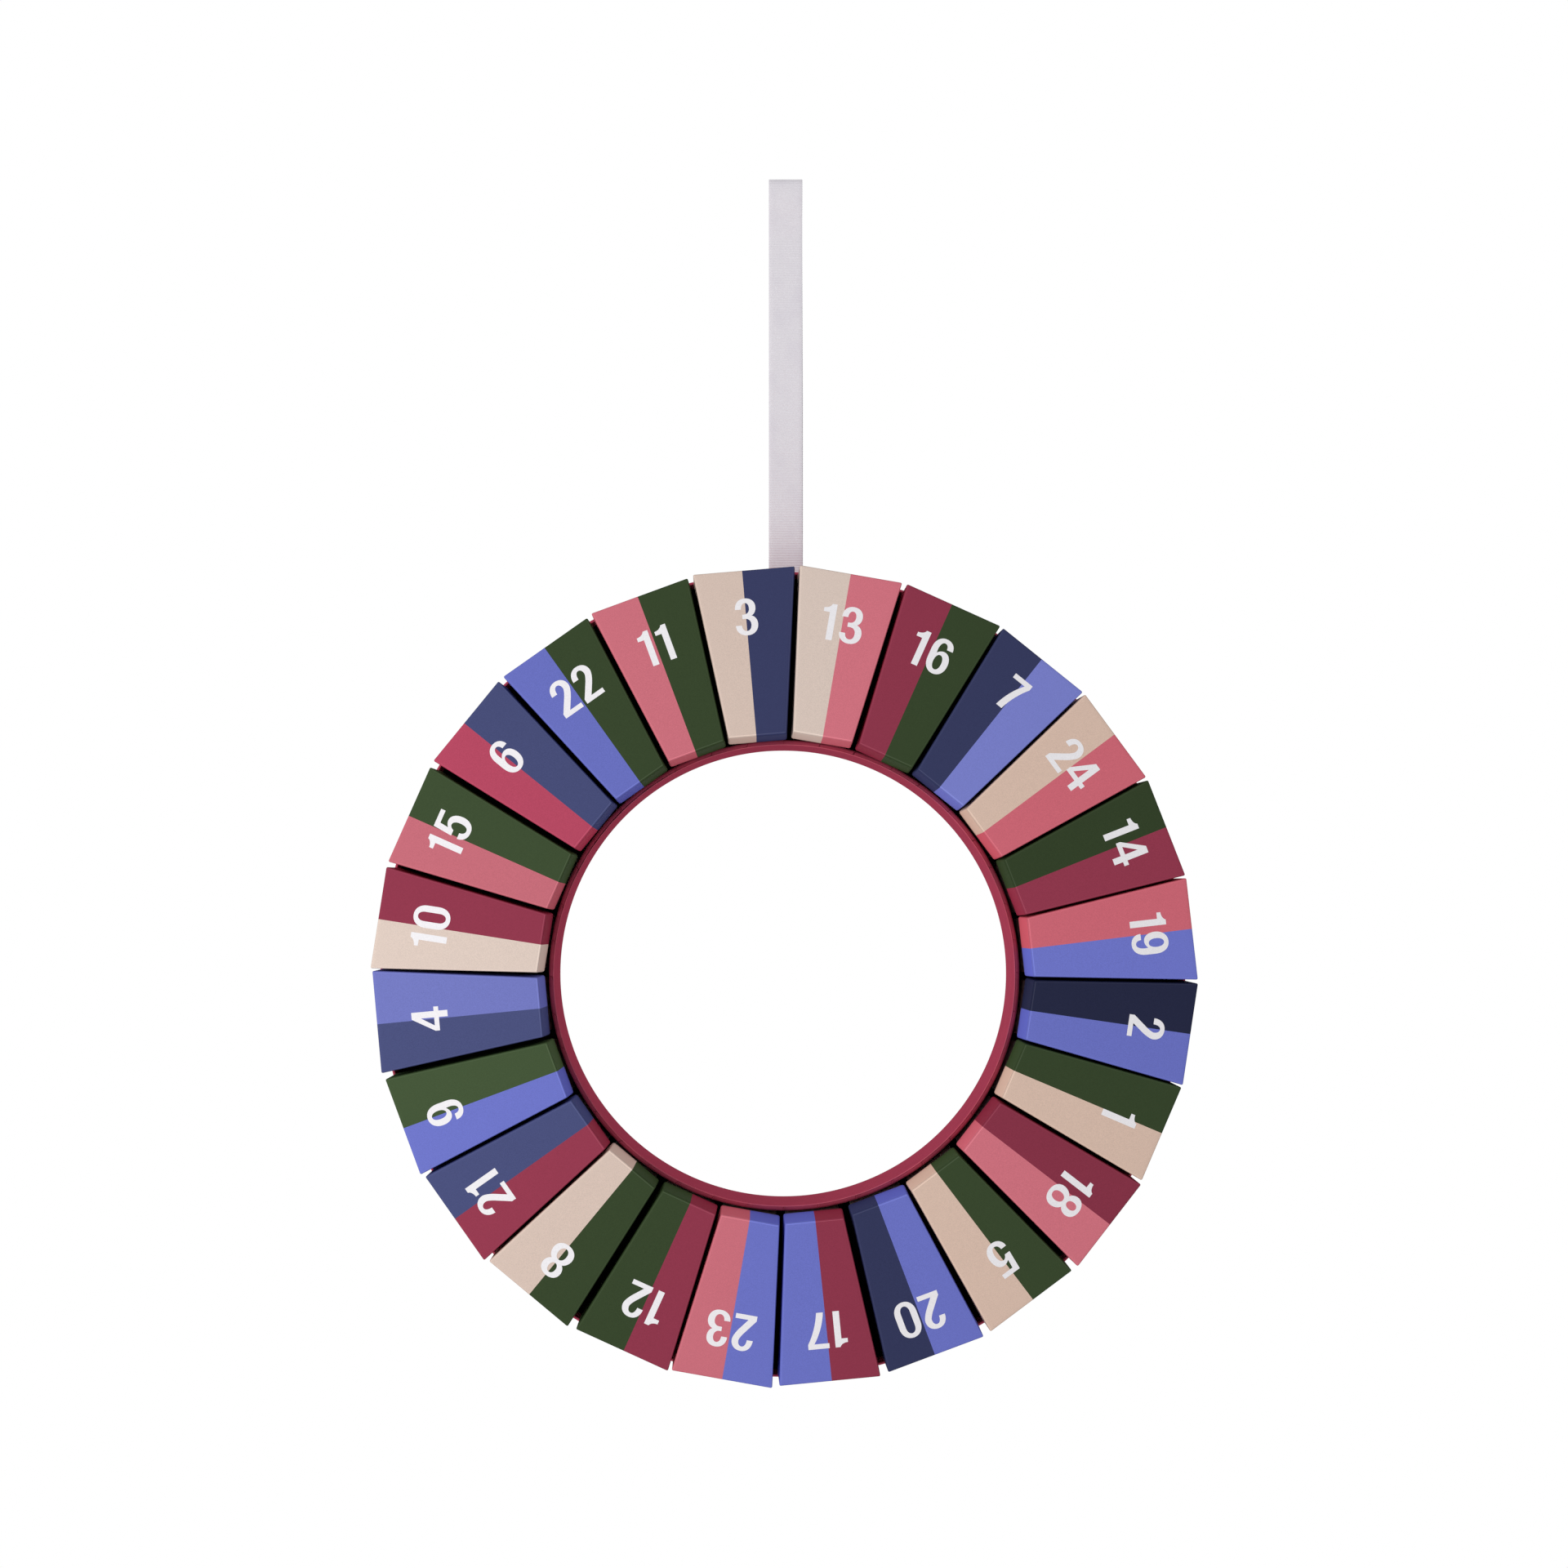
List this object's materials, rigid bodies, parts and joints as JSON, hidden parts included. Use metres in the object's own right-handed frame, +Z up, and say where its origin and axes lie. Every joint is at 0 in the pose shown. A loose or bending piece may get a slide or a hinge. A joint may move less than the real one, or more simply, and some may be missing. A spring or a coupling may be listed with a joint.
{
  "type": "advent calendar wreath",
  "caption": "Hanging ring-shaped tray of small wedge-shaped card boxes with lift-off two-tone lids, with a ribbon loop.",
  "frame": {"origin": "where a hook carries the ribbon: the inside top of its loop, at the middle of the ribbon's width", "axes": "+Z up along the hanging ribbon, +X to the right of someone who faces the wreath, box fronts face -Y and the back liner faces +Y"},
  "size_m": [0.3864, 0.0645, 0.5853],
  "materials": {
    "board": "matte crimson paper over grey board",
    "liner": "matte crimson paper over grey board",
    "ribbon": "ribbed grosgrain weave",
    "cup_card": "plain uncoated card",
    "card_beige": "matte printed card",
    "card_pink": "matte printed card",
    "card_crimson": "matte printed card",
    "card_burgundy": "matte printed card",
    "card_violet": "matte printed card",
    "card_navy": "matte printed card",
    "card_green": "matte printed card"
  },
  "bodies": {
    "wreath": {"base_board": "board", "inner_wall": "board", "outer_wall": "board", "back_liner": "liner", "ribbon_loop": "ribbon", "box_01_cup": "cup_card", "box_02_cup": "cup_card", "box_03_cup": "cup_card", "box_04_cup": "cup_card", "box_05_cup": "cup_card", "box_06_cup": "cup_card", "box_07_cup": "cup_card", "box_08_cup": "cup_card", "box_09_cup": "cup_card", "box_10_cup": "cup_card", "box_11_cup": "cup_card", "box_12_cup": "cup_card", "box_13_cup": "cup_card", "box_14_cup": "cup_card", "box_15_cup": "cup_card", "box_16_cup": "cup_card", "box_17_cup": "cup_card", "box_18_cup": "cup_card", "box_19_cup": "cup_card", "box_20_cup": "cup_card", "box_21_cup": "cup_card", "box_22_cup": "cup_card", "box_23_cup": "cup_card", "box_24_cup": "cup_card"},
    "lid_01": {"box_01_lid": "card_green"},
    "lid_02": {"box_02_lid": "card_navy"},
    "lid_03": {"box_03_lid": "card_beige"},
    "lid_04": {"box_04_lid": "card_navy"},
    "lid_05": {"box_05_lid": "card_green"},
    "lid_06": {"box_06_lid": "card_crimson"},
    "lid_07": {"box_07_lid": "card_navy"},
    "lid_08": {"box_08_lid": "card_green"},
    "lid_09": {"box_09_lid": "card_violet"},
    "lid_10": {"box_10_lid": "card_beige"},
    "lid_11": {"box_11_lid": "card_pink"},
    "lid_12": {"box_12_lid": "card_burgundy"},
    "lid_13": {"box_13_lid": "card_beige"},
    "lid_14": {"box_14_lid": "card_green"},
    "lid_15": {"box_15_lid": "card_pink"},
    "lid_16": {"box_16_lid": "card_burgundy"},
    "lid_17": {"box_17_lid": "card_burgundy"},
    "lid_18": {"box_18_lid": "card_burgundy"},
    "lid_19": {"box_19_lid": "card_pink"},
    "lid_20": {"box_20_lid": "card_violet"},
    "lid_21": {"box_21_lid": "card_burgundy"},
    "lid_22": {"box_22_lid": "card_violet"},
    "lid_23": {"box_23_lid": "card_violet"},
    "lid_24": {"box_24_lid": "card_beige"}
  },
  "joints": [
    {"name": "lid_01_pull_off", "type": "slide", "parent": "wreath", "child": "lid_01", "axis": [0, -1, 0], "range_m": [0, 0.06]},
    {"name": "lid_02_pull_off", "type": "slide", "parent": "wreath", "child": "lid_02", "axis": [0, -1, 0], "range_m": [0, 0.06]},
    {"name": "lid_03_pull_off", "type": "slide", "parent": "wreath", "child": "lid_03", "axis": [0, -1, 0], "range_m": [0, 0.06]},
    {"name": "lid_04_pull_off", "type": "slide", "parent": "wreath", "child": "lid_04", "axis": [0, -1, 0], "range_m": [0, 0.06]},
    {"name": "lid_05_pull_off", "type": "slide", "parent": "wreath", "child": "lid_05", "axis": [0, -1, 0], "range_m": [0, 0.06]},
    {"name": "lid_06_pull_off", "type": "slide", "parent": "wreath", "child": "lid_06", "axis": [0, -1, 0], "range_m": [0, 0.06]},
    {"name": "lid_07_pull_off", "type": "slide", "parent": "wreath", "child": "lid_07", "axis": [0, -1, 0], "range_m": [0, 0.06]},
    {"name": "lid_08_pull_off", "type": "slide", "parent": "wreath", "child": "lid_08", "axis": [0, -1, 0], "range_m": [0, 0.06]},
    {"name": "lid_09_pull_off", "type": "slide", "parent": "wreath", "child": "lid_09", "axis": [0, -1, 0], "range_m": [0, 0.06]},
    {"name": "lid_10_pull_off", "type": "slide", "parent": "wreath", "child": "lid_10", "axis": [0, -1, 0], "range_m": [0, 0.06]},
    {"name": "lid_11_pull_off", "type": "slide", "parent": "wreath", "child": "lid_11", "axis": [0, -1, 0], "range_m": [0, 0.06]},
    {"name": "lid_12_pull_off", "type": "slide", "parent": "wreath", "child": "lid_12", "axis": [0, -1, 0], "range_m": [0, 0.06]},
    {"name": "lid_13_pull_off", "type": "slide", "parent": "wreath", "child": "lid_13", "axis": [0, -1, 0], "range_m": [0, 0.06]},
    {"name": "lid_14_pull_off", "type": "slide", "parent": "wreath", "child": "lid_14", "axis": [0, -1, 0], "range_m": [0, 0.06]},
    {"name": "lid_15_pull_off", "type": "slide", "parent": "wreath", "child": "lid_15", "axis": [0, -1, 0], "range_m": [0, 0.06]},
    {"name": "lid_16_pull_off", "type": "slide", "parent": "wreath", "child": "lid_16", "axis": [0, -1, 0], "range_m": [0, 0.06]},
    {"name": "lid_17_pull_off", "type": "slide", "parent": "wreath", "child": "lid_17", "axis": [0, -1, 0], "range_m": [0, 0.06]},
    {"name": "lid_18_pull_off", "type": "slide", "parent": "wreath", "child": "lid_18", "axis": [0, -1, 0], "range_m": [0, 0.06]},
    {"name": "lid_19_pull_off", "type": "slide", "parent": "wreath", "child": "lid_19", "axis": [0, -1, 0], "range_m": [0, 0.06]},
    {"name": "lid_20_pull_off", "type": "slide", "parent": "wreath", "child": "lid_20", "axis": [0, -1, 0], "range_m": [0, 0.06]},
    {"name": "lid_21_pull_off", "type": "slide", "parent": "wreath", "child": "lid_21", "axis": [0, -1, 0], "range_m": [0, 0.06]},
    {"name": "lid_22_pull_off", "type": "slide", "parent": "wreath", "child": "lid_22", "axis": [0, -1, 0], "range_m": [0, 0.06]},
    {"name": "lid_23_pull_off", "type": "slide", "parent": "wreath", "child": "lid_23", "axis": [0, -1, 0], "range_m": [0, 0.06]},
    {"name": "lid_24_pull_off", "type": "slide", "parent": "wreath", "child": "lid_24", "axis": [0, -1, 0], "range_m": [0, 0.06]}
  ]
}
